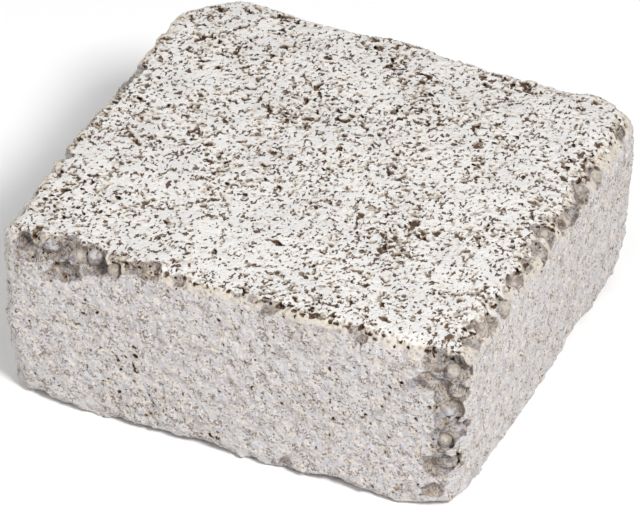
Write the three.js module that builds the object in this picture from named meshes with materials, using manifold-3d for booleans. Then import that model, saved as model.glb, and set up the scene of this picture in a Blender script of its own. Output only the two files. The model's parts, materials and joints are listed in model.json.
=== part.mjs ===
// A tumbled concrete block of the kind laid as small paving: a square slab cast in one piece,
// with flat faces, bruised edges and knocked corners, where stones of the mix lie bare.
// Units are millimetres and +Z is up. The origin is the centre of the base, on the ground.

import * as THREE from "three";
import { mergeVertices } from "three/addons/utils/BufferGeometryUtils.js";
import Module from "manifold-3d";

const wasm = await Module();
wasm.setup();

// Driving dimensions
const SIDE = 150;
const HEIGHT = 60;
const DRAFT = 0.025; // the base is this share smaller than the top
const EDGE_RADIUS = 4.5; // the rounding that tumbling gives the top and bottom edges
const SOCKET_GAP = 0.35; // between a stone and its bed

// Radius of each vertical edge in plan, at the base and at the top
const VERTICAL_EDGES = [
  { name: "front_right", base: 9, top: 7 },
  { name: "back_right", base: 10, top: 12 },
  { name: "back_left", base: 13, top: 18 },
  { name: "front_left", base: 9, top: 6.5 },
];

// Places where a corner or an edge has lost more than the rest
const KNOCKS = [
  { at: [-75, -75, 0], reach: 24, depth: 6 },
  { at: [75, -75, 0], reach: 22, depth: 5 },
  { at: [75, 75, 0], reach: 20, depth: 3 },
  { at: [-75, 75, 0], reach: 20, depth: 4 },
  { at: [75, 75, 60], reach: 18, depth: 2.5 },
  { at: [48, 75, 60], reach: 9, depth: 3 },
  { at: [-48, -75, 60], reach: 16, depth: 2.5 },
  { at: [75, -55, 60], reach: 14, depth: 2.5 },
];

// How finely the slab's skin is divided
const ARC_STEPS = 5;
const SIDE_STEPS = 13;
const ROUND_LEVELS = 3;
const WALL_LEVELS = 3;

const COLOURS = {
  concrete: 0xd6d1cb,
  grey: 0x96949a,
  tan: 0xb79f7f,
  brown: 0x80694f,
};

const ROUGHNESS = { concrete: 0.95, stone: 0.8 };

function material(colour, roughness) {
  return new THREE.MeshStandardMaterial({ color: colour, roughness, metalness: 0 });
}

// A repeatable stream of numbers from 0 to 1
function stream(seed) {
  let state = seed;
  return () => {
    state = (state * 1664525 + 1013904223) % 4294967296;
    return state / 4294967296;
  };
}

function smooth(t) {
  const s = THREE.MathUtils.clamp(t, 0, 1);
  return s * s * (3 - 2 * s);
}

// --- the slab -------------------------------------------------------------------------------

// The levels of the skin from base to top, each with its height and its rounding's inset
function levels() {
  const rows = [];
  for (let i = 0; i <= ROUND_LEVELS; i += 1) {
    const angle = (Math.PI / 2) * (i / ROUND_LEVELS);
    const z = EDGE_RADIUS * (1 - Math.cos(angle));
    rows.push({ z, inset: EDGE_RADIUS * (1 - Math.sin(angle)) });
  }
  for (let i = 1; i < WALL_LEVELS; i += 1) {
    const share = i / WALL_LEVELS;
    rows.push({ z: THREE.MathUtils.lerp(EDGE_RADIUS, HEIGHT - EDGE_RADIUS, share), inset: 0 });
  }
  const round = rows.slice(0, ROUND_LEVELS + 1).reverse();
  return rows.concat(round.map((row) => ({ z: HEIGHT - row.z, inset: row.inset })));
}

// Points round the plan, each with its outward normal and how near it is to a vertical edge
function outline(z) {
  const points = [];
  VERTICAL_EDGES.forEach((edge, corner) => {
    const next = VERTICAL_EDGES[(corner + 1) % VERTICAL_EDGES.length];
    const radius = THREE.MathUtils.lerp(edge.base, edge.top, z / HEIGHT);
    const nextRadius = THREE.MathUtils.lerp(next.base, next.top, z / HEIGHT);
    const start = (corner - 1) * (Math.PI / 2);
    const diagonal = start + Math.PI / 4;
    const reach = (SIDE / 2 - radius) * Math.SQRT2;
    const centre = new THREE.Vector2(Math.cos(diagonal), Math.sin(diagonal)).multiplyScalar(reach);
    for (let i = 0; i <= ARC_STEPS; i += 1) {
      const angle = start + (Math.PI / 2) * (i / ARC_STEPS);
      const normal = new THREE.Vector2(Math.cos(angle), Math.sin(angle));
      points.push({ at: centre.clone().addScaledVector(normal, radius), normal, worn: 1 });
    }
    const arcEnd = points[points.length - 1];
    const along = new THREE.Vector2(-arcEnd.normal.y, arcEnd.normal.x);
    const length = SIDE - radius - nextRadius;
    for (let i = 1; i < SIDE_STEPS; i += 1) {
      const share = i / SIDE_STEPS;
      const nearest = Math.min(share, 1 - share) * length;
      const at = arcEnd.at.clone().addScaledVector(along, share * length);
      points.push({ at, normal: arcEnd.normal, worn: smooth(1 - nearest / 10) });
    }
  });
  return points;
}

// What tumbling has taken off, measured along the plan's normal
function bruise(x, y, z, worn, inset) {
  const edge = Math.max(worn, Math.min(1, inset / (EDGE_RADIUS / 2)));
  const ripple = Math.sin(x * 0.31 + z * 0.2) * Math.sin(y * 0.37 - z * 0.15 + 1);
  let lost = edge * 0.7 * (1 + ripple);
  for (const knock of KNOCKS) {
    const away = Math.hypot(x - knock.at[0], y - knock.at[1], z - knock.at[2]);
    lost += knock.depth * smooth(1 - away / knock.reach);
  }
  return lost;
}

function draftAt(z) {
  return 1 - DRAFT * (1 - z / HEIGHT);
}

function slabRing(level) {
  return outline(level.z).map(({ at, normal, worn }) => {
    const lost = level.inset + bruise(at.x, at.y, level.z, worn, level.inset);
    const point = at.clone().addScaledVector(normal, -lost).multiplyScalar(draftAt(level.z));
    return new THREE.Vector3(point.x, point.y, level.z);
  });
}

// A flat face as a fan from its middle point
function capTriangles(count, offset, middle, up) {
  const triangles = [];
  for (let i = 0; i < count; i += 1) {
    const next = offset + ((i + 1) % count);
    triangles.push(...(up ? [middle, offset + i, next] : [middle, next, offset + i]));
  }
  return triangles;
}

function slabGeometry() {
  const rings = levels().map(slabRing);
  const count = rings[0].length;
  const triangles = [];
  for (let row = 0; row < rings.length - 1; row += 1) {
    for (let i = 0; i < count; i += 1) {
      const low = row * count + i;
      const lowNext = row * count + ((i + 1) % count);
      triangles.push(low, lowNext, lowNext + count, low, lowNext + count, low + count);
    }
  }
  const points = rings.flat();
  triangles.push(...capTriangles(count, 0, points.length, false));
  triangles.push(...capTriangles(count, points.length - count, points.length + 1, true));
  points.push(new THREE.Vector3(0, 0, 0), new THREE.Vector3(0, 0, HEIGHT));
  const geometry = new THREE.BufferGeometry().setFromPoints(points);
  geometry.setIndex(triangles);
  return geometry;
}

// --- the stones -----------------------------------------------------------------------------

// A stone is a slightly lumpy ellipsoid; grow makes the same stone larger all round
function stoneGeometry(stone, grow) {
  const source = new THREE.IcosahedronGeometry(1, 1);
  source.deleteAttribute("normal");
  source.deleteAttribute("uv");
  const geometry = mergeVertices(source);
  const random = stream(stone.seed);
  const position = geometry.attributes.position;
  const point = new THREE.Vector3();
  for (let i = 0; i < position.count; i += 1) {
    point.fromBufferAttribute(position, i).multiplyScalar(0.9 + 0.12 * random());
    point.set(
      point.x * (stone.size[0] + grow),
      point.y * (stone.size[1] + grow),
      point.z * (stone.size[2] + grow),
    );
    position.setXYZ(i, point.x, point.y, point.z);
  }
  geometry.applyQuaternion(new THREE.Quaternion().setFromEuler(new THREE.Euler(...stone.turn)));
  return geometry.translate(...stone.at);
}

// Stones spaced along one worn edge, each bedded a little inside it
function stonesAlong(name, from, to, count, colours, outward, seed) {
  const random = stream(seed);
  const start = new THREE.Vector3(...from);
  const end = new THREE.Vector3(...to);
  const sideways = end.clone().sub(start).normalize().cross(outward);
  const stones = [];
  for (let i = 0; i < count; i += 1) {
    const share = (i + 0.3 + 0.4 * random()) / count;
    const size = 2.1 + 1.1 * random();
    const at = start.clone().lerp(end, share).addScaledVector(outward, -0.5 * random());
    at.addScaledVector(sideways, (i % 2 ? 1 : -1) * (0.4 + 1.2 * random()));
    stones.push({
      name: `${name}_stone_${i + 1}`,
      at: at.toArray(),
      size: [size, size * (0.75 + 0.2 * random()), size * (0.8 + 0.3 * random())],
      turn: [random() * Math.PI, random() * Math.PI, random() * Math.PI],
      colour: colours[i % colours.length],
      outward,
      seed: seed * 100 + i,
    });
  }
  return stones;
}

function allStones() {
  const frontRight = new THREE.Vector3(1, -1, 0).normalize();
  const backRight = new THREE.Vector3(1, 1, 0).normalize();
  const backLeft = new THREE.Vector3(-1, 1, 0).normalize();
  const frontTop = new THREE.Vector3(0, -1, 1).normalize();
  const rightTop = new THREE.Vector3(1, 0, 1).normalize();
  const nearColours = ["grey", "brown", "tan", "grey"];
  return [
    ...stonesAlong("front_right", [67.4, -67.4, 9], [70.6, -70.6, 56], 7, nearColours, frontRight, 11),
    ...stonesAlong("front_edge", [-61, -71.6, 56.6], [-33, -71.6, 56.6], 4, ["grey", "tan"], frontTop, 23),
    ...stonesAlong("right_edge", [71.4, -60, 56.4], [71.4, 44, 56.4], 8, ["brown", "tan"], rightTop, 37),
    ...stonesAlong("back_right", [68.6, 68.6, 10], [69.3, 69.3, 50], 3, ["tan", "grey"], backRight, 41),
    ...stonesAlong("back_left", [-67.6, 67.6, 12], [-67.6, 67.6, 48], 3, ["grey", "brown"], backLeft, 53),
  ];
}

// --- cutting --------------------------------------------------------------------------------

function toSolid(geometry) {
  return new wasm.Manifold(
    new wasm.Mesh({
      numProp: 3,
      vertProperties: new Float32Array(geometry.attributes.position.array),
      triVerts: new Uint32Array(geometry.index.array),
    }),
  );
}

function toGeometry(solid) {
  const mesh = solid.getMesh();
  const geometry = new THREE.BufferGeometry();
  geometry.setAttribute("position", new THREE.BufferAttribute(mesh.vertProperties, 3));
  geometry.setIndex(new THREE.BufferAttribute(mesh.triVerts, 1));
  return geometry;
}

// The hollow that a blow has left round a bare stone, centred just outside the edge
function crater(stone) {
  const size = stone.size.map((half) => half * 1.45);
  const at = new THREE.Vector3(...stone.at).addScaledVector(stone.outward, stone.size[0] * 0.95);
  return { ...stone, at: at.toArray(), size, seed: stone.seed + 7 };
}

function concreteGeometry(stones) {
  let solid = toSolid(slabGeometry());
  for (const stone of stones) {
    solid = solid.subtract(toSolid(stoneGeometry(crater(stone), 0)));
  }
  for (const stone of stones) {
    solid = solid.subtract(toSolid(stoneGeometry(stone, SOCKET_GAP)));
  }
  return toGeometry(solid);
}

// --- the block ------------------------------------------------------------------------------

function buildBlock() {
  const block = new THREE.Group();
  const stones = allStones();
  const concrete = new THREE.Mesh(
    concreteGeometry(stones),
    material(COLOURS.concrete, ROUGHNESS.concrete),
  );
  concrete.name = "concrete_body";
  block.add(concrete);
  for (const stone of stones) {
    const geometry = stoneGeometry({ ...stone, at: [0, 0, 0] }, 0);
    const mesh = new THREE.Mesh(geometry, material(COLOURS[stone.colour], ROUGHNESS.stone));
    mesh.name = stone.name;
    mesh.position.set(...stone.at);
    block.add(mesh);
  }
  return block;
}

export default buildBlock();
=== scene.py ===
import itertools
import json
import math

import bmesh
import bpy
import numpy as np
from mathutils import Matrix, Vector


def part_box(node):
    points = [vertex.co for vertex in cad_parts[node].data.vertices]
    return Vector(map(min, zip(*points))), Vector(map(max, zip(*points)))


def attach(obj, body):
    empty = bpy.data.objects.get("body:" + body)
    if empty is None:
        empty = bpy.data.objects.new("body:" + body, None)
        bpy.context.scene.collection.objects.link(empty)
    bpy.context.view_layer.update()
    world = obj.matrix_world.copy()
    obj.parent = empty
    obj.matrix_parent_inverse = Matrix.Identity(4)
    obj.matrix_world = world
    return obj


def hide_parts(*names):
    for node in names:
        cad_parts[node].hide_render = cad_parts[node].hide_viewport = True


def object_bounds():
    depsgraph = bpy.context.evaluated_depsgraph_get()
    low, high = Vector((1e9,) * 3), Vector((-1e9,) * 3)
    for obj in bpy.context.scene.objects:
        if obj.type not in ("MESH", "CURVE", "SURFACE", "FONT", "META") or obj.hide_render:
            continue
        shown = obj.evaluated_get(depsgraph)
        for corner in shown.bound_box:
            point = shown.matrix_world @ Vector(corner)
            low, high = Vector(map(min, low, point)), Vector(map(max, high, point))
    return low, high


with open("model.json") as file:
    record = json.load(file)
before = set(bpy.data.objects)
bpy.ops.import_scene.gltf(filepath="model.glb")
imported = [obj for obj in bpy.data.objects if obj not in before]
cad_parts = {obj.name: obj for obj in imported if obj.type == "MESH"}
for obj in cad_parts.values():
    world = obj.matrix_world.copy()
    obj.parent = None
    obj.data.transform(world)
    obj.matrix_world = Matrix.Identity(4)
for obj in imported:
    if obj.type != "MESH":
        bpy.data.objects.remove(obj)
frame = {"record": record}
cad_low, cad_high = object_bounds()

MM = 0.001

# The slab, from the frame
SIDE = (cad_high[0] - cad_low[0]) / MM
HEIGHT = (cad_high[2] - cad_low[2]) / MM
HALF = SIDE / 2
DRAFT = 0.025  # the base is this share smaller than the top

# The grid
STEP = 0.3
MARGIN = 2.0

# Radius of each vertical edge in plan at the base and at the top: front left, front right, back
# left, back right
CORNER_RADII = {(-1, -1): (9, 5), (1, -1): (12, 7), (-1, 1): (14, 22), (1, 1): (8, 12)}

# Heavier wear towards the right and back sides: where it starts, and how far it takes to grow
RIGHT_WEAR = (50.0, 22.0)
BACK_WEAR = (55.0, 14.0)

# What the level edges are rounded to, in millimetres, and what is added to it
EDGE_RADIUS = 3.0
BACK_RADIUS = 1.5
RIGHT_TOP_RADIUS = 3.8
BASE_RADIUS = 1.0
RIGHT_BASE_RADIUS = 2.0
RADIUS_SWING = 0.7
RADIUS_LIMITS = (1.2, 8.0)

# How far the wear reaches from a level edge, what is added to that at the right, and how far it
# reaches past the radius of an upright edge
RIM_REACH = 6.0
RIGHT_RIM_REACH = 6.0
UPRIGHT_REACH = 4.0
UPRIGHT_WEAR = 0.75  # an upright edge's wear, as a share of a level one's

# How much the wear takes off: a mean and a swing, in broad hollows and in ragged ones
BROAD_WEAR = (0.25, 0.55)
RAGGED_WEAR = (0.1, 0.65)

# The skin's small relief: its mean, its coarse and fine swings, and the share that the top lacks
RELIEF_MEAN = 0.15
RELIEF_COARSE = 0.16
RELIEF_FINE = 0.15
TOP_CALM = 0.65
TOP_BLEND = 3.0  # how wide the band is in which the sides turn into the top

# Places where a corner or an edge has lost more than the rest: where, how far it reaches, how deep
KNOCKS = (
    ((-75, -75, 0), 26, 5.0),
    ((75, -75, 0), 24, 5.0),
    ((75, 75, 0), 22, 3.0),
    ((-75, 75, 0), 22, 4.0),
    ((75, 75, 60), 22, 3.0),
    ((28, 75, 60), 32, 2.6),
    ((50, 75, 60), 9, 2.5),
    ((8, 75, 60), 7, 2.0),
)
KNOCK_SHARE = 0.8
KNOCK_SWING = 0.12

# Chips that have broken out of the edges: where, and how big
CHIPS = (
    # the upright edge at the front right
    ((71.5, -75, 54), 6.8), ((71, -75, 46), 6.3), ((70.5, -75, 38), 5.5), ((70, -74.5, 28), 4.8),
    ((69.5, -74, 17), 6.0), ((68.5, -73, 8), 5.5), ((65, -76, 57), 5.5), ((62, -77, 48), 4.5),
    # the right top edge
    ((74, -59, 60), 5.5), ((75, -50, 59), 5.0), ((74, -33, 60), 3.5), ((74, -20, 60.5), 3.5),
    ((74, -12, 60), 4.0), ((75, 5, 58.5), 3.5), ((75, 13, 58.5), 5.0), ((74, 31, 60), 3.5),
    ((74, 40, 60), 3.0), ((73, 57, 60), 4.0),
    # the front top edge
    ((-60, -76, 58), 5.0), ((-52, -77, 52), 5.5), ((-66, -75, 55), 4.5),
    ((-54, -75, 60), 6.5), ((-45, -76, 58.5), 7.0), ((-62, -73, 60.5), 4.0), ((-26, -74, 60), 4.0),
    ((12, -75, 60), 3.0), ((40, -74.5, 60.5), 3.0),
    # the left and back edges
    ((-74, 20, 60), 4.0), ((-75, -30, 59), 3.0),
    ((10, 75, 60), 4.0), ((-30, 74, 60.5), 3.5), ((-68, 68, 30), 5.0), ((70, 70, 40), 4.5),
)

# Small chips along every edge: how many there are on an upright and a level one, the least size and
# what is added to it at most, and how far off the edge they lie
CHIPS_UPRIGHT = 12
CHIPS_LEVEL = 34
SMALL_CHIP = (0.8, 1.9)
CHIP_OFFSET = 1.6

# How rough a chip's outline is: ragged by its size up to a limit, and gritty
CHIP_RAGGED = 0.26
CHIP_RAGGED_LIMIT = 3.0
CHIP_GRIT = 0.35
CHIP_SLACK = 2.5  # how far past its size a chip is worked out
NO_CHIP = -9.0  # how far inside a chip a point is where no chip is near

# The chip over each bare stone and the cement left round its seat, by the stone's own radius: how
# far out of or into the block the centre lies, and the radius
STONE_CHIP_OUT, STONE_CHIP_RADIUS = 0.9, 1.35
SEAT_IN, SEAT_RADIUS = 0.45, 1.27
SEAT_RAGGED = 0.35
STONE_FACING = 15.0  # a stone faces away from the block's inside, which starts this deep


def clip01(values):
    return np.clip(values, 0.0, 1.0)


def smooth(values):
    """From 0 to 1, easing at both ends, as values go from 0 to 1."""
    t = clip01(values)
    return t * t * (3.0 - 2.0 * t)


def rise(values, start, run):
    """From 0 to 1 as values go from start on over a length of run."""
    return smooth((values - start) / run)


# --- the grid and its noise --------------------------------------------------------------------

SPLINE_SPREAD = 0.332  # the spread of a spline through random values of unit spread


def grid_axes():
    reach = HALF + MARGIN
    across = np.arange(-reach, reach, STEP, dtype=np.float32)
    upward = np.arange(-MARGIN, HEIGHT + MARGIN, STEP, dtype=np.float32)
    return across, across, upward


def spline_taps(places, spacing):
    """Where each place's four values start on a lattice this far apart, and how they blend."""
    along = (places - places[0]) / spacing + 1.0
    cell = np.floor(along).astype(int)
    t = (along - cell).astype(np.float32)
    weights = ((1 - t) ** 3, 3 * t**3 - 6 * t**2 + 4, -3 * t**3 + 3 * t**2 + 3 * t + 1, t**3)
    return cell - 1, [weight / 6 for weight in weights]


def noise(axes, spacing, seed):
    """Smooth random values of unit spread over the grid, with lumps about 1.5 times spacing."""
    taps = [spline_taps(axis, spacing) for axis in axes]
    random = np.random.default_rng(seed)
    values = random.standard_normal([start[-1] + 4 for start, _ in taps], dtype=np.float32)
    for number, (start, weights) in enumerate(taps):
        shape = [1, 1, 1]
        shape[number] = -1
        blended = [
            np.take(values, start + shift, axis=number) * weight.reshape(shape)
            for shift, weight in enumerate(weights)
        ]
        values = sum(blended[1:], blended[0])
    return values / SPLINE_SPREAD


def distance(open_axes, place):
    return np.sqrt(sum((axis - at) ** 2 for axis, at in zip(open_axes, place)))


def local_box(axes, place, reach):
    """The part of the grid within reach of place, as slices and as its own open axes."""
    slices = []
    for axis, at in zip(axes, place):
        first, last = np.searchsorted(axis, (at - reach, at + reach))
        slices.append(slice(first, last))
    x, y, z = (axis[part] for axis, part in zip(axes, slices))
    return tuple(slices), x[:, None, None], y[None, :, None], z[None, None, :]


# --- the worn slab -----------------------------------------------------------------------------


def corner_radius(x, y, z):
    base_radius = np.zeros((x.size, y.size, 1), np.float32)
    top_radius = base_radius.copy()
    for (side_x, side_y), (base, top) in CORNER_RADII.items():
        here = ((x < 0) == (side_x < 0)) & ((y < 0) == (side_y < 0))
        base_radius += here * base
        top_radius += here * top
    return base_radius + (top_radius - base_radius) * clip01(z / HEIGHT)


def plan_field(far_x, far_y, radius):
    """The distance outside the slab's outline from above, with its rounded corners."""
    out_x = np.maximum(far_x + radius, 0.0)
    out_y = np.maximum(far_y + radius, 0.0)
    return np.hypot(out_x, out_y) + np.minimum(np.maximum(far_x, far_y) + radius, 0.0) - radius


def edge_rounding(y, z, right, broad):
    """The radius that the level edges are rounded to. Right grows from 0 to 1 to the right."""
    rounding = EDGE_RADIUS + BACK_RADIUS * rise(y, *BACK_WEAR) + RADIUS_SWING * broad
    at_top = RIGHT_TOP_RADIUS * right
    at_base = BASE_RADIUS + RIGHT_BASE_RADIUS * right
    rounding += np.where(z > HEIGHT / 2, at_top, at_base)
    return np.clip(rounding, *RADIUS_LIMITS)


def rounded_field(plan, level, rounding):
    """The distance outside the slab once the edges between its top, base and sides are rounded."""
    side_in = plan + rounding
    level_in = level + rounding
    field = np.hypot(np.maximum(side_in, 0.0), np.maximum(level_in, 0.0))
    field += np.minimum(np.maximum(side_in, level_in), 0.0) - rounding
    return field


def edge_wear(broad, ragged):
    """How much is worn off a level edge."""
    hollows = np.maximum(BROAD_WEAR[0] + BROAD_WEAR[1] * broad, 0.0)
    return hollows + np.maximum(RAGGED_WEAR[0] + RAGGED_WEAR[1] * ragged, 0.0)


def cut_knocks(axes, slab, broad):
    for place, reach, depth in KNOCKS:
        part, *near = local_box(axes, place, reach)
        lost = depth * smooth(1.0 - distance(near, place) / reach)
        slab[part] += lost * (KNOCK_SHARE + KNOCK_SWING * broad[part])


def slab_field(axes):
    """The distance outside the worn slab, how near an edge and how much on top each point is, and
    the ragged noise."""
    x = axes[0][:, None, None]
    y = axes[1][None, :, None]
    z = axes[2][None, None, :]
    shrink = 1.0 - DRAFT * (1.0 - z / HEIGHT)
    far_x = np.abs(x) - HALF * shrink
    far_y = np.abs(y) - HALF * shrink
    radius = corner_radius(x, y, z)
    plan = plan_field(far_x, far_y, radius)
    level = np.abs(z - HEIGHT / 2) - HEIGHT / 2

    broad = noise(axes, spacing=11.0, seed=1)
    ragged = noise(axes, spacing=2.6, seed=2)
    right = rise(x, *RIGHT_WEAR)
    slab = rounded_field(plan, level, edge_rounding(y, z, right, broad))

    rim = smooth(1.0 + np.minimum(plan, level) / (RIM_REACH + RIGHT_RIM_REACH * right))
    upright = smooth(1.0 + np.minimum(far_x, far_y) / (radius + UPRIGHT_REACH))
    edge = np.maximum(rim, upright * UPRIGHT_WEAR).astype(np.float32)
    slab += edge * edge_wear(broad, ragged)
    cut_knocks(axes, slab, broad)
    top = smooth((level - plan + TOP_BLEND / 2) / TOP_BLEND) * (z > HEIGHT / 2)
    relief = RELIEF_COARSE * noise(axes, spacing=1.9, seed=3)
    relief += RELIEF_FINE * noise(axes, spacing=0.8, seed=4)
    slab += (1.0 - TOP_CALM * top) * (relief + RELIEF_MEAN)
    slab = np.maximum(slab, -z)
    return slab.astype(np.float32), edge, top.astype(np.float32), ragged


# --- chips and the stones that they lay bare ---------------------------------------------------


def edge_chips():
    """Small chips scattered along all twelve edges, besides the large ones."""
    random = np.random.default_rng(5)
    chips = []
    ends = (-1.0, 1.0)
    for along in range(3):
        for first, second in itertools.product(ends, ends):
            count = CHIPS_UPRIGHT if along == 2 else CHIPS_LEVEL
            for _ in range(count):
                place = [first, second]
                place.insert(along, random.uniform(-1.0, 1.0))
                height = HEIGHT / 2 * (1.0 + place[2])
                shrink = 1.0 - DRAFT * (1.0 - height / HEIGHT)
                size = SMALL_CHIP[0] + SMALL_CHIP[1] * random.random() ** 2
                at = [HALF * shrink * place[0], HALF * shrink * place[1], height]
                at = [value + random.uniform(-CHIP_OFFSET, CHIP_OFFSET) for value in at]
                chips.append((tuple(at), size))
    return chips


def stone_parts():
    parts = [part for part in frame["record"]["subparts"] if part["material_slot"] in STONE_COLOURS]
    return sorted(parts, key=lambda part: part["node"])


def stone_place(node):
    """A bare stone's centre and radius, and the direction from it out of the block."""
    low, high = (np.array(corner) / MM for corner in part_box(node))
    centre = (low + high) / 2
    reach = HALF - STONE_FACING
    inner_low = (-reach, -reach, STONE_FACING)
    inner_high = (reach, reach, HEIGHT - STONE_FACING)
    outward = centre - np.clip(centre, inner_low, inner_high)
    return centre, (high - low).mean() / 2, outward / np.linalg.norm(outward)


def keep_cement(axes, hollow, ragged, seat, radius):
    """Fills a chip round a bare stone, so that only the outer part of the stone stands clear."""
    part, *near = local_box(axes, seat, radius + CHIP_SLACK)
    kept = distance(near, seat) - radius + SEAT_RAGGED * ragged[part]
    hollow[part] = np.minimum(hollow[part], kept)


def cut_chips(axes, slab, ragged):
    """Breaks the chips out of slab, and gives how far inside a chip's hollow each point is."""
    hollow = np.full(slab.shape, NO_CHIP, np.float32)
    grit = noise(axes, spacing=1.2, seed=6)
    stones = [stone_place(part["node"]) for part in stone_parts()]
    over_stones = [
        (centre + STONE_CHIP_OUT * radius * outward, STONE_CHIP_RADIUS * radius)
        for centre, radius, outward in stones
    ]
    for place, size in [*CHIPS, *edge_chips(), *over_stones]:
        part, *near = local_box(axes, place, size + CHIP_SLACK)
        inside = size - distance(near, place) + CHIP_RAGGED * min(size, CHIP_RAGGED_LIMIT) * ragged[part]
        inside += CHIP_GRIT * grit[part]
        hollow[part] = np.maximum(hollow[part], inside)
    for centre, radius, outward in stones:
        keep_cement(axes, hollow, ragged, centre - SEAT_IN * radius * outward, SEAT_RADIUS * radius)
    return np.maximum(slab, hollow), hollow


# --- the grains and the gaps between them ------------------------------------------------------

# The gaps between grains, from the large holes to the fine pits: how far apart the grains are, how
# wide a gap opens at a spread of one in its noise, and how rare it is. Rare is given for the top and
# for the sides. Taper is how fast a gap narrows with depth.
GAPS = (
    {"spacing": 3.6, "swing": 1.40, "rare_top": 1.90, "rare_side": 3.4, "taper": 0.25, "seed": 21},
    {"spacing": 2.0, "swing": 0.85, "rare_top": 1.00, "rare_side": 2.0, "taper": 0.20, "seed": 23},
    {"spacing": 1.2, "swing": 0.60, "rare_top": 0.80, "rare_side": 1.35, "taper": 0.15, "seed": 25},
)
GAP_DEPTH = 3.2  # no gap goes deeper
GAP_RISE = 0.7  # gaps are worked out up to here outside the skin
GAP_SLOPE = 0.6  # turns a gap's opening into a rough distance from its wall
CLOSED = 0.12  # the largest such distance that is kept
WALL_SLOPE = 0.6  # turns how much farther the next grain is into a distance from the midway plane

# The noises in a gap's width: two of them sized by its grains, and what share each one has
LUMP_SIZE, GRIT_SIZE = 0.5, 0.27
LUMP_SHARE, GRIT_SHARE, PATCH_SHARE = 0.85, 0.45, 0.25

# Near an edge gaps are less rare, and more so on the top. On the top they also narrow less.
EDGE_MORE, TOP_EDGE_MORE = 0.2, 0.4
SIDE_TAPER, TOP_TAPER_LESS = 1.6, 0.6

FAR = 99.0  # more than the square of any grain's distance, in spacings


def grains(points, spacing, seed):
    """How far points are from the nearest and next nearest of scattered grains, and which is nearest."""
    low = points.min(axis=0) - 2 * spacing
    place = (points - low) / spacing
    cell = place.astype(np.int32)
    size = cell.max(axis=0) + 3
    jitter = np.random.default_rng(seed).random((int(size.prod()), 3), dtype=np.float32)
    nearest = np.zeros(len(points), np.int32)
    first = np.full(len(points), FAR, np.float32)
    second = first.copy()
    for shift in itertools.product((-1, 0, 1), repeat=3):
        x, y, z = (cell[:, axis] + shift[axis] for axis in range(3))
        number = (x * size[1] + y) * size[2] + z
        away = (x + jitter[number, 0] - place[:, 0]) ** 2
        away += (y + jitter[number, 1] - place[:, 1]) ** 2
        away += (z + jitter[number, 2] - place[:, 2]) ** 2
        second = np.minimum(second, np.maximum(first, away))
        nearest = np.where(away < first, number, nearest)
        first = np.minimum(first, away)
    return np.sqrt(first) * spacing, np.sqrt(second) * spacing, nearest


def open_gaps(axes, skin, top, edge):
    """Opens the pores between the grains. Gives the new field, and the distance outside the pores."""
    band = np.flatnonzero((skin > -GAP_DEPTH) & (skin < GAP_RISE))
    index = np.unravel_index(band, skin.shape)
    points = np.stack([axis[i] for axis, i in zip(axes, index)], axis=1)
    depth = np.maximum(-skin.ravel()[band], 0.0)
    on_top = top.ravel()[band]
    near_edge = edge.ravel()[band]
    patches = noise(axes, spacing=8.0, seed=11).ravel()[band]
    outside = np.full(len(band), CLOSED, np.float32)
    for gap in GAPS:
        lumps = noise(axes, gap["spacing"] * LUMP_SIZE, gap["seed"]).ravel()[band]
        grit = noise(axes, gap["spacing"] * GRIT_SIZE, gap["seed"] + 1).ravel()[band]
        rare = gap["rare_top"] * on_top + gap["rare_side"] * (1.0 - on_top)
        rare -= (EDGE_MORE + TOP_EDGE_MORE * on_top) * near_edge
        spread = LUMP_SHARE * lumps + GRIT_SHARE * grit + PATCH_SHARE * patches
        width = gap["swing"] * (spread - rare)
        width -= gap["taper"] * (SIDE_TAPER - TOP_TAPER_LESS * on_top) * depth
        open_here = np.flatnonzero(width > -CLOSED / GAP_SLOPE)
        first, second, _ = grains(points[open_here], gap["spacing"], gap["seed"] + 2)
        away = GAP_SLOPE * (WALL_SLOPE * (second - first) - width[open_here])
        outside[open_here] = np.minimum(outside[open_here], away)
    opened = skin.ravel().copy()
    opened[band] = np.maximum(opened[band], -outside)
    pores = np.full(skin.size, CLOSED, np.float32)
    pores[band] = outside
    return opened.reshape(skin.shape), pores.reshape(skin.shape)


# --- meshing -----------------------------------------------------------------------------------


def corner_values(field, cells, corner):
    return field[cells[0] + corner[0], cells[1] + corner[1], cells[2] + corner[2]]


def crossing_cells(field):
    """Indices of the grid's cells that the surface goes through."""
    inside = field < 0
    count = np.zeros([n - 1 for n in field.shape], np.int8)
    for corner in itertools.product((0, 1), repeat=3):
        part = tuple(slice(c, n - 1 + c) for c, n in zip(corner, field.shape))
        count += inside[part]
    return np.nonzero((count > 0) & (count < 8))


def surface_points(field, cells):
    """One point in each crossed cell, at the middle of where the surface cuts the cell's edges."""
    total = np.zeros((len(cells[0]), 3), np.float32)
    hits = np.zeros(len(cells[0]), np.float32)
    for along in range(3):
        others = [axis for axis in range(3) if axis != along]
        for pair in itertools.product((0, 1), repeat=2):
            start = [0, 0, 0]
            start[others[0]], start[others[1]] = pair
            end = list(start)
            end[along] = 1
            a = corner_values(field, cells, start)
            b = corner_values(field, cells, end)
            cut = (a < 0) != (b < 0)
            share = np.where(cut, a / np.where(cut, a - b, 1.0), 0.0)
            place = np.array(start, np.float32) * cut[:, None]
            place[:, along] += share
            total += place
            hits += cut
    return total / hits[:, None] + np.stack(cells, axis=1)


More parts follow.
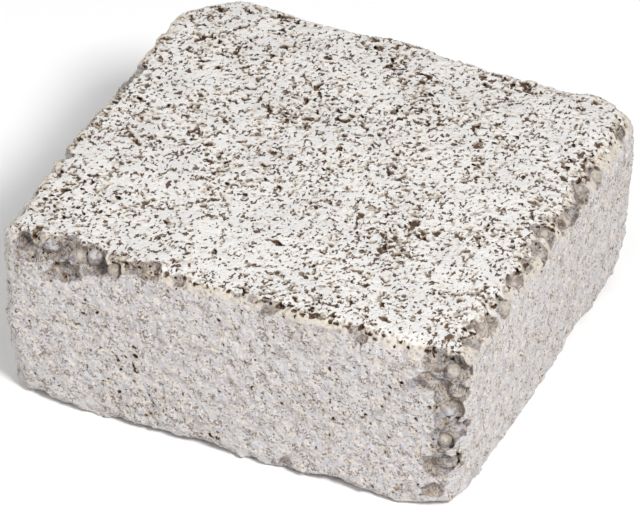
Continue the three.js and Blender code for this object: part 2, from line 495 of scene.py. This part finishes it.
def surface_faces(field, cells):
    """A four-sided face round each edge of the grid that the surface cuts, facing outwards."""
    number = np.full([n - 1 for n in field.shape], -1, np.int32)
    number[cells] = np.arange(len(cells[0]))
    faces = []
    for along in range(3):
        u, v = (along + 1) % 3, (along + 2) % 3
        part = [slice(1, -1)] * 3
        part[along] = slice(0, -1)
        ahead = list(part)
        ahead[along] = slice(1, None)
        a = field[tuple(part)] < 0
        b = field[tuple(ahead)] < 0
        for outward in (True, False):
            index = list(np.nonzero((a & ~b) if outward else (~a & b)))
            index[u] = index[u] + 1
            index[v] = index[v] + 1
            ring = []
            for back_u, back_v in ((1, 1), (0, 1), (0, 0), (1, 0)):
                at = list(index)
                at[u] = index[u] - back_u
                at[v] = index[v] - back_v
                ring.append(number[tuple(at)])
            faces.append(np.stack(ring if outward else ring[::-1], axis=1))
    return np.concatenate(faces)


def largest_shell(points, faces):
    """Drops every shell but the largest, such as the walls of a pore sealed inside the block."""
    label = np.arange(len(points))
    while True:
        lowest = label[faces].min(axis=1)
        new = label.copy()
        for column in range(4):
            np.minimum.at(new, faces[:, column], lowest)
        new = new[new]
        new = new[new]
        if np.array_equal(new, label):
            break
        label = new
    main = np.bincount(label).argmax()
    keep = label == main
    renumber = np.cumsum(keep) - 1
    return points[keep], renumber[faces[keep[faces[:, 0]]]]


def sample(field, places):
    """Values of field at places, given in grid steps."""
    low = np.clip(places.astype(np.int32), 0, np.array(field.shape) - 2)
    t = places - low
    value = np.zeros(len(places), np.float32)
    for corner in itertools.product((0, 1), repeat=3):
        weight = np.ones(len(places), np.float32)
        for axis in range(3):
            weight *= t[:, axis] if corner[axis] else 1.0 - t[:, axis]
        at = low + np.array(corner)
        value += weight * field[at[:, 0], at[:, 1], at[:, 2]]
    return value


def new_mesh(name, points, faces):
    mesh = bpy.data.meshes.new(name)
    mesh.vertices.add(len(points))
    mesh.vertices.foreach_set("co", points.astype(np.float32).ravel())
    mesh.loops.add(faces.size)
    mesh.loops.foreach_set("vertex_index", faces.astype(np.int32).ravel())
    mesh.polygons.add(len(faces))
    mesh.polygons.foreach_set("loop_start", np.arange(0, faces.size, 4, dtype=np.int32))
    mesh.update(calc_edges=True)
    mesh.polygons.foreach_set("use_smooth", np.ones(len(faces), bool))
    return mesh


def add_value(mesh, name, values):
    layer = mesh.attributes.new(name, "FLOAT", "POINT")
    layer.data.foreach_set("value", values.astype(np.float32))


# --- the concrete ------------------------------------------------------------------------------

# Colours of the stones and sand that a chip lays bare, as red, green and blue
ROCKS = np.array((
    (0.32, 0.31, 0.345), (0.40, 0.39, 0.43), (0.24, 0.22, 0.235), (0.42, 0.36, 0.30),
    (0.53, 0.49, 0.46), (0.21, 0.175, 0.155), (0.49, 0.485, 0.52), (0.31, 0.27, 0.255),
))
ROCK_SPACING = 2.6
ROCK_WOBBLE = 0.5  # how ragged the outlines of these stones are
CEMENT_WIDTH = 0.5  # how wide the cement between them is

# The edges' cream, partly wear and partly painted light, grows with height: where it starts, and how far
# it takes to grow
WEAR_AND_LIGHT_RISE = (15.0, 35.0)

# Where a chip's colours start, by how far inside its hollow a point is, and how far they take to grow
CHIP_RISE = (-0.7, 0.6)

MAP_GAP = 3.0  # between the block's sides on its flat map


def add_rock_colour(mesh, points, wobble):
    """Each grain's own colour, with how far into the cement between the grains a point is."""
    first, second, nearest = grains(points + wobble[:, None], ROCK_SPACING, seed=21)
    pick = np.random.default_rng(31).integers(0, len(ROCKS), nearest.max() + 1)
    cement = smooth(1.0 - (second - first) / CEMENT_WIDTH)
    layer = mesh.attributes.new("rock", "FLOAT_COLOR", "POINT")
    values = np.concatenate((ROCKS[pick][nearest], cement[:, None]), axis=1).astype(np.float32)
    layer.data.foreach_set("color", values.ravel())


def add_bake_map(mesh, points, faces):
    """A flat map of the block's six sides, so that its colours can be stored as a picture."""
    middle = points[faces].mean(axis=1)
    out = np.stack((
        middle[:, 0] - HALF, -middle[:, 0] - HALF, middle[:, 1] - HALF, -middle[:, 1] - HALF,
        middle[:, 2] - HEIGHT, -middle[:, 2],
    ))
    tall = HEIGHT + MAP_GAP
    wide = SIDE + MAP_GAP
    # each side's first and second map directions, and the corner of its place on the map
    places = (
        (1, 2, 0.0, 0.0), (1, 2, wide, 0.0), (0, 2, 0.0, tall), (0, 2, wide, tall),
        (0, 1, 0.0, 2 * tall), (0, 1, wide, 2 * tall),
    )
    flat = np.empty((faces.size, 2), np.float32)
    corners = points[faces.ravel()]
    side = np.repeat(out.argmax(axis=0), 4)
    for number, (across, upward, right, up) in enumerate(places):
        here = side == number
        rise_here = corners[here, upward] + (0.0 if upward == 2 else HALF)
        flat[here, 0] = corners[here, across] + HALF + right
        flat[here, 1] = rise_here + up
    flat = (flat + MAP_GAP / 2) / (2 * wide)
    layer = mesh.uv_layers.new(name="OFBake")
    layer.data.foreach_set("uv", np.clip(flat, 0.0, 1.0).ravel())


def concrete_piece(material):
    axes = grid_axes()
    slab, edge, top, ragged = slab_field(axes)
    skin, hollow = cut_chips(axes, slab, ragged)
    opened, pores = open_gaps(axes, skin, top, edge)
    cells = crossing_cells(opened)
    steps = surface_points(opened, cells)
    steps, faces = largest_shell(steps, surface_faces(opened, cells))
    points = steps * STEP + np.array([axis[0] for axis in axes], np.float32)
    mesh = new_mesh("concrete", points * MM, faces)
    near_edge = sample(edge, steps)
    add_value(mesh, "pit", np.maximum(-sample(skin, steps), 0.0))
    add_value(mesh, "chip", rise(sample(hollow, steps), *CHIP_RISE))
    add_value(mesh, "edge", near_edge)
    # Where the edges' cream goes: partly wear, partly painted light.
    add_value(mesh, "worn", near_edge * rise(points[:, 2], *WEAR_AND_LIGHT_RISE))
    add_value(mesh, "rim", smooth(1.0 - sample(pores, steps) / CLOSED))
    add_value(mesh, "top", sample(top, steps))
    add_rock_colour(mesh, points, ROCK_WOBBLE * sample(ragged, steps))
    add_bake_map(mesh, points, faces)
    mesh.materials.append(material)
    piece = bpy.data.objects.new("concrete", mesh)
    bpy.context.collection.objects.link(piece)
    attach(piece, "root")
    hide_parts("concrete_body")


# --- materials ---------------------------------------------------------------------------------


class Nodes:
    """A material's nodes, with short ways to make the ones used here."""

    # A Mix node's sockets for colours, which share their names with its sockets for numbers
    MIX_FIRST, MIX_SECOND, MIX_RESULT = 6, 7, 2

    def __init__(self, name):
        self.material = bpy.data.materials.new(name)
        self.material.use_nodes = True
        self.tree = self.material.node_tree
        self.shader = self.tree.nodes["Principled BSDF"]
        self.place = self.tree.nodes.new("ShaderNodeTexCoord").outputs["Object"]

    def set(self, socket, value):
        if isinstance(value, bpy.types.NodeSocket):
            self.tree.links.new(value, socket)
        elif hasattr(value, "__len__"):
            socket.default_value = (*value, 1.0)[:4]
        else:
            socket.default_value = value

    def noise(self, size_mm, detail=2.0, roughness=0.5, stretch=(1.0, 1.0, 1.0)):
        node = self.tree.nodes.new("ShaderNodeTexNoise")
        node.inputs["Scale"].default_value = 1.0 / (size_mm * MM)
        node.inputs["Detail"].default_value = detail
        node.inputs["Roughness"].default_value = roughness
        mapping = self.tree.nodes.new("ShaderNodeMapping")
        mapping.inputs["Scale"].default_value = [1.0 / length for length in stretch]
        self.tree.links.new(self.place, mapping.inputs["Vector"])
        self.tree.links.new(mapping.outputs["Vector"], node.inputs["Vector"])
        return node.outputs["Fac"]

    def ramp(self, value, start, whole, least=0.0, most=1.0):
        """From least to most as value goes from start to whole, either of which can be the larger."""
        node = self.tree.nodes.new("ShaderNodeMapRange")
        node.interpolation_type = "SMOOTHSTEP"
        node.inputs["From Min"].default_value = start
        node.inputs["From Max"].default_value = whole
        node.inputs["To Min"].default_value = least
        node.inputs["To Max"].default_value = most
        self.set(node.inputs["Value"], value)
        return node.outputs["Result"]

    def math(self, operation, first, second):
        node = self.tree.nodes.new("ShaderNodeMath")
        node.operation = operation
        self.set(node.inputs[0], first)
        self.set(node.inputs[1], second)
        return node.outputs["Value"]

    def mix(self, share, first, second):
        node = self.tree.nodes.new("ShaderNodeMix")
        node.data_type = "RGBA"
        self.set(node.inputs["Factor"], share)
        self.set(node.inputs[self.MIX_FIRST], first)
        self.set(node.inputs[self.MIX_SECOND], second)
        return node.outputs[self.MIX_RESULT]

    def value(self, name):
        node = self.tree.nodes.new("ShaderNodeAttribute")
        node.attribute_name = name
        return node.outputs["Fac"]

    def colour(self, name):
        node = self.tree.nodes.new("ShaderNodeAttribute")
        node.attribute_name = name
        return node.outputs["Color"], node.outputs["Alpha"]

    def bump(self, height, strength, distance_mm):
        node = self.tree.nodes.new("ShaderNodeBump")
        node.inputs["Strength"].default_value = strength
        node.inputs["Distance"].default_value = distance_mm * MM
        self.tree.links.new(height, node.inputs["Height"])
        self.tree.links.new(node.outputs["Normal"], self.shader.inputs["Normal"])


TOP_PALE = (0.855, 0.835, 0.81)
TOP_GREY = (0.79, 0.775, 0.76)
# The sides' base greys, darker than the top's pale though the concrete is one colour through: painted
# shade on the sides.
SHADED_SIDE_GREY = (0.59, 0.58, 0.60)
SIDE_DULL = (0.45, 0.42, 0.41)
SIDE_WARM = (0.76, 0.68, 0.60)
# The sides' fine pores painted as dark specks: painted shade in the pores, partly dirt.
SIDE_PORE_SHADE_AND_DIRT_SPECK = (0.28, 0.23, 0.205)
# The cream along the edges: partly wear, partly painted light on the rounded edges.
EDGE_WEAR_AND_LIGHT_CREAM = (0.69, 0.62, 0.525)
RIM_TAN = (0.60, 0.49, 0.37)
# Colours that darken a pit with its depth: painted shade in the pits, partly dirt. The darkest one is
# also painted shade in a chip's crevices, and the dark crystals of the stones.
PIT_WALL_SHADE_AND_DIRT = (0.64, 0.57, 0.49)
DARK_SHADE_DIRT_AND_GRAIN = (0.12, 0.07, 0.042)
PIT_PALE_SHADE_AND_DIRT = (0.33, 0.26, 0.205)
# The top's finest pores painted as dark specks: painted shade in the pores, partly dirt.
PORE_SHADE_AND_DIRT_SPECK = (0.13, 0.08, 0.052)
CEMENT_BROKEN = (0.51, 0.465, 0.42)

STONE_COLOURS = {
    "grey_stone": ((0.27, 0.265, 0.295), (0.42, 0.415, 0.455)),
    "tan_stone": ((0.26, 0.22, 0.18), (0.40, 0.345, 0.29)),
    "brown_stone": ((0.19, 0.155, 0.13), (0.31, 0.255, 0.215)),
}

PORE_GRAIN = 0.65  # the share of fine grain in the pattern of pores. The rest is coarser lumps.


def pore_pattern(n, grain, lumps):
    """A pattern of pores in loose groups. It is low where a pore is."""
    coarse = n.math("MULTIPLY", lumps, 1.0 - PORE_GRAIN)
    return n.math("ADD", n.math("MULTIPLY", grain, PORE_GRAIN), coarse)


def top_pores(n, lumps, edge, top):
    """The finest pores of the top, with a few more of them near its edges. They are painted in as dark
    specks: painted shade in the pores, partly dirt.
    """
    grain = n.noise(1.15, roughness=0.55, stretch=(1.0, 1.5, 1.0))
    pattern = n.math("SUBTRACT", pore_pattern(n, grain, lumps), n.math("MULTIPLY", edge, 0.015))
    return n.math("MULTIPLY", n.ramp(pattern, 0.447, 0.416), top)


def top_colour(n, pores):
    patches = n.noise(14.0)
    specks = n.noise(0.55)
    colour = n.mix(n.ramp(patches, 0.40, 0.65), TOP_PALE, TOP_GREY)
    colour = n.mix(n.ramp(specks, 0.60, 0.72, most=0.3), colour, RIM_TAN)
    # The finest pores painted as dark specks: painted shade, partly dirt.
    return n.mix(pores, colour, PORE_SHADE_AND_DIRT_SPECK)


def side_colour(n, mottle, flecks, grain, lumps):
    dull = n.noise(6.0, detail=3.0)
    # The base grey here is painted shade on the sides.
    colour = n.mix(n.ramp(dull, 0.50, 0.68, most=0.8), SHADED_SIDE_GREY, SIDE_DULL)
    colour = n.mix(n.ramp(mottle, 0.50, 0.66, most=0.6), colour, SIDE_WARM)
    colour = n.mix(n.ramp(flecks, 0.52, 0.62, most=0.8), colour, SIDE_WARM)
    # The fine pores painted as dark specks: painted shade, partly dirt.
    pores = n.ramp(pore_pattern(n, grain, lumps), 0.465, 0.405)
    return n.mix(pores, colour, SIDE_PORE_SHADE_AND_DIRT_SPECK)


def broken_colour(n, flecks, grain):
    """The stones and sand in a chip, with cement between them and in a thin film over some. Its darker
    patches and dark specks are painted shade in the crevices.
    """
    rock, cement = n.colour("rock")
    film = n.noise(2.6, detail=3.0)
    colour = n.mix(cement, rock, CEMENT_BROKEN)
    colour = n.mix(n.ramp(film, 0.50, 0.60, most=0.75), colour, CEMENT_BROKEN)
    # Darker patches and dark specks: painted shade in the crevices.
    colour = n.mix(n.ramp(flecks, 0.40, 0.62), colour, n.mix(0.45, colour, DARK_SHADE_DIRT_AND_GRAIN))
    return n.mix(n.ramp(grain, 0.43, 0.36, most=0.8), colour, DARK_SHADE_DIRT_AND_GRAIN)


def pit_colour(n, colour, mottle):
    """Colour with the pits added: tan round their mouths, and dark or pale brown in their floors. This
    darkening into a pit is painted shade, partly dirt.
    """
    pit = n.value("pit")
    colour = n.mix(n.ramp(n.value("rim"), 0.3, 1.0, most=0.35), colour, RIM_TAN)
    colour = n.mix(n.ramp(pit, 0.05, 0.5), colour, PIT_WALL_SHADE_AND_DIRT)
    # The pit floors' dark and pale brown: painted shade, partly dirt.
    pit_floor_shade = n.mix(n.ramp(mottle, 0.50, 0.62, most=0.8), DARK_SHADE_DIRT_AND_GRAIN, PIT_PALE_SHADE_AND_DIRT)
    return n.mix(n.ramp(pit, 0.3, 0.85), colour, pit_floor_shade)


def concrete_material():
    n = Nodes("porous_concrete")
    top = n.value("top")
    mottle = n.noise(2.2, detail=3.0)
    lumps = n.noise(3.2)
    flecks = n.noise(0.8)
    grain = n.noise(0.7, roughness=0.6)
    pores = top_pores(n, lumps, n.value("edge"), top)
    # Top and sides are one concrete: the sides' darker grey is painted shade.
    colour = n.mix(top, side_colour(n, mottle, flecks, grain, lumps), top_colour(n, pores))
    # The cream along the edges: partly wear, partly painted light on the rounded edges.
    wear = n.math("ADD", n.value("worn"), n.math("MULTIPLY", mottle, 1.6))
    colour = n.mix(n.ramp(wear, 1.15, 1.7, most=0.8), colour, EDGE_WEAR_AND_LIGHT_CREAM)
    colour = n.mix(n.value("chip"), colour, broken_colour(n, flecks, grain))
    n.set(n.shader.inputs["Base Color"], pit_colour(n, colour, mottle))
    n.set(n.shader.inputs["Roughness"], n.ramp(mottle, 0.3, 0.7, least=0.86, most=0.97))
    n.shader.inputs["Specular IOR Level"].default_value = 0.3
    grit = n.noise(0.8, detail=4.0, roughness=0.7)
    height = n.math("SUBTRACT", grit, n.math("MULTIPLY", pores, 0.4))
    n.bump(height, strength=1.0, distance_mm=0.8)
    return n.material


def stone_material(slot):
    n = Nodes(slot)
    dark, pale = STONE_COLOURS[slot]
    bands = n.noise(2.5, detail=4.0, roughness=0.6)
    crystals = n.noise(0.5)
    dust = n.noise(1.6, detail=3.0)
    colour = n.mix(n.ramp(bands, 0.35, 0.65), dark, pale)
    colour = n.mix(n.ramp(crystals, 0.62, 0.75, most=0.5), colour, DARK_SHADE_DIRT_AND_GRAIN)
    colour = n.mix(n.ramp(dust, 0.47, 0.58, most=0.6), colour, CEMENT_BROKEN)
    n.set(n.shader.inputs["Base Color"], colour)
    n.set(n.shader.inputs["Roughness"], n.ramp(bands, 0.3, 0.7, least=0.62, most=0.85))
    n.bump(crystals, strength=0.8, distance_mm=0.2)
    return n.material


# --- the bare stones ---------------------------------------------------------------------------

STONE_SUBDIVISIONS = 5
STONE_FACETS = 9
FACET_RANGE = (0.64, 0.92)  # how far a facet is from the stone's centre, by its radius
FACET_SIDEWAYS = 0.05  # a facet leaves points that face it less than this alone
STONE_SCALE = 1.04  # makes up for what the facets take off


def unit_ball(mesh):
    """Makes mesh a ball of radius 1, and gives its points."""
    shape = bmesh.new()
    bmesh.ops.create_icosphere(shape, subdivisions=STONE_SUBDIVISIONS, radius=1.0)
    shape.to_mesh(mesh)
    shape.free()
    points = np.empty(len(mesh.vertices) * 3, np.float32)
    mesh.vertices.foreach_get("co", points)
    return points.reshape(-1, 3)


def facet_share(points, seed):
    """How much of its radius each point of a ball keeps once random flat facets are cut."""
    random = np.random.default_rng(seed)
    share = np.ones(len(points))
    for _ in range(STONE_FACETS):
        facing = random.standard_normal(3)
        facing /= np.linalg.norm(facing)
        cut = random.uniform(*FACET_RANGE)
        share = np.minimum(share, cut / np.maximum(points @ facing, FACET_SIDEWAYS))
    return np.minimum(share, 1.0)[:, None]


def stone_piece(node, material, seed):
    """A broken stone with worn facets, in the place of its CAD solid."""
    low, high = (Vector(corner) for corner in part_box(node))
    centre = (low + high) / 2
    half = (high - low) / 2
    mesh = bpy.data.meshes.new(node.replace("_stone_", "_pebble_"))
    points = unit_ball(mesh)
    points = points * facet_share(points, seed) * np.array(half) * STONE_SCALE + np.array(centre)
    mesh.vertices.foreach_set("co", points.astype(np.float32).ravel())
    mesh.polygons.foreach_set("use_smooth", np.ones(len(mesh.polygons), bool))
    mesh.materials.append(material)
    mesh.update()
    piece = bpy.data.objects.new(mesh.name, mesh)
    bpy.context.collection.objects.link(piece)
    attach(piece, "root")
    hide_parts(node)


def bare_stones():
    materials = {slot: stone_material(slot) for slot in STONE_COLOURS}
    for seed, part in enumerate(stone_parts()):
        slot = part["material_slot"]
        stone_piece(part["node"], materials[slot], seed)


# --- camera, floor and light -------------------------------------------------------------------

# The camera's direction, distance and lens, and how far its aim is from the middle of the base: to
# its right, up its picture, and straight up
AZIMUTH, ELEVATION, ROLL = (math.radians(angle) for angle in (21.4, 35.2, 2.95))
CAMERA_AWAY = 1.837
LENS = 338.8
AIM_RIGHT, AIM_UP, AIM_RISE = -0.0013, 0.0197, 0.0028
FARTHEST_SEEN = 50.0

FLOOR_REACH = 6.0
FLOOR_COLOUR = (0.93, 0.93, 0.93)
FLOOR_ROUGHNESS = 0.9

WORLD_LIGHT = 0.47
LAMP_AIM = (0.0, 0.0, 0.03)


def add_camera():
    back = Vector((
        math.sin(AZIMUTH) * math.cos(ELEVATION),
        -math.cos(AZIMUTH) * math.cos(ELEVATION),
        math.sin(ELEVATION),
    ))
    right = Vector((math.cos(AZIMUTH), math.sin(AZIMUTH), 0.0))
    up = back.cross(right)
    aim = right * AIM_RIGHT + up * AIM_UP + Vector((0.0, 0.0, AIM_RISE))
    turned_right = right * math.cos(ROLL) + up * math.sin(ROLL)
    turned_up = up * math.cos(ROLL) - right * math.sin(ROLL)
    data = bpy.data.cameras.new("camera")
    data.lens = LENS
    data.clip_end = FARTHEST_SEEN
    camera = bpy.data.objects.new("camera", data)
    turn = Matrix((turned_right, turned_up, back)).transposed()
    camera.matrix_world = Matrix.Translation(aim + back * CAMERA_AWAY) @ turn.to_4x4()
    bpy.context.collection.objects.link(camera)
    bpy.context.scene.camera = camera


def add_floor():
    n = Nodes("floor")
    n.set(n.shader.inputs["Base Color"], FLOOR_COLOUR)
    n.set(n.shader.inputs["Roughness"], FLOOR_ROUGHNESS)
    mesh = bpy.data.meshes.new("floor")
    corners = ((-1, -1), (1, -1), (1, 1), (-1, 1))
    mesh.from_pydata([(FLOOR_REACH * x, FLOOR_REACH * y, 0) for x, y in corners], [], [(0, 1, 2, 3)])
    mesh.materials.append(n.material)
    floor = bpy.data.objects.new("floor", mesh)
    bpy.context.collection.objects.link(floor)


def add_lamp(name, place, size, power):
    data = bpy.data.lights.new(name, "AREA")
    data.shape = "SQUARE"
    data.size = size
    data.energy = power
    lamp = bpy.data.objects.new(name, data)
    lamp.location = place
    lamp.rotation_euler = (Vector(LAMP_AIM) - Vector(place)).to_track_quat("-Z", "Y").to_euler()
    bpy.context.collection.objects.link(lamp)


def add_lights():
    world = bpy.data.worlds.new("studio")
    world.use_nodes = True
    background = world.node_tree.nodes["Background"]
    background.inputs["Color"].default_value = (1.0, 1.0, 1.0, 1.0)
    background.inputs["Strength"].default_value = WORLD_LIGHT
    bpy.context.scene.world = world
    add_lamp("key", place=(0.70, -0.58, 1.00), size=0.3, power=16.0)
    add_lamp("fill", place=(-0.9, -0.5, 0.8), size=0.9, power=3.6)
    bpy.context.scene.view_settings.view_transform = "Standard"


add_camera()
add_floor()
add_lights()
concrete_piece(concrete_material())
bare_stones()
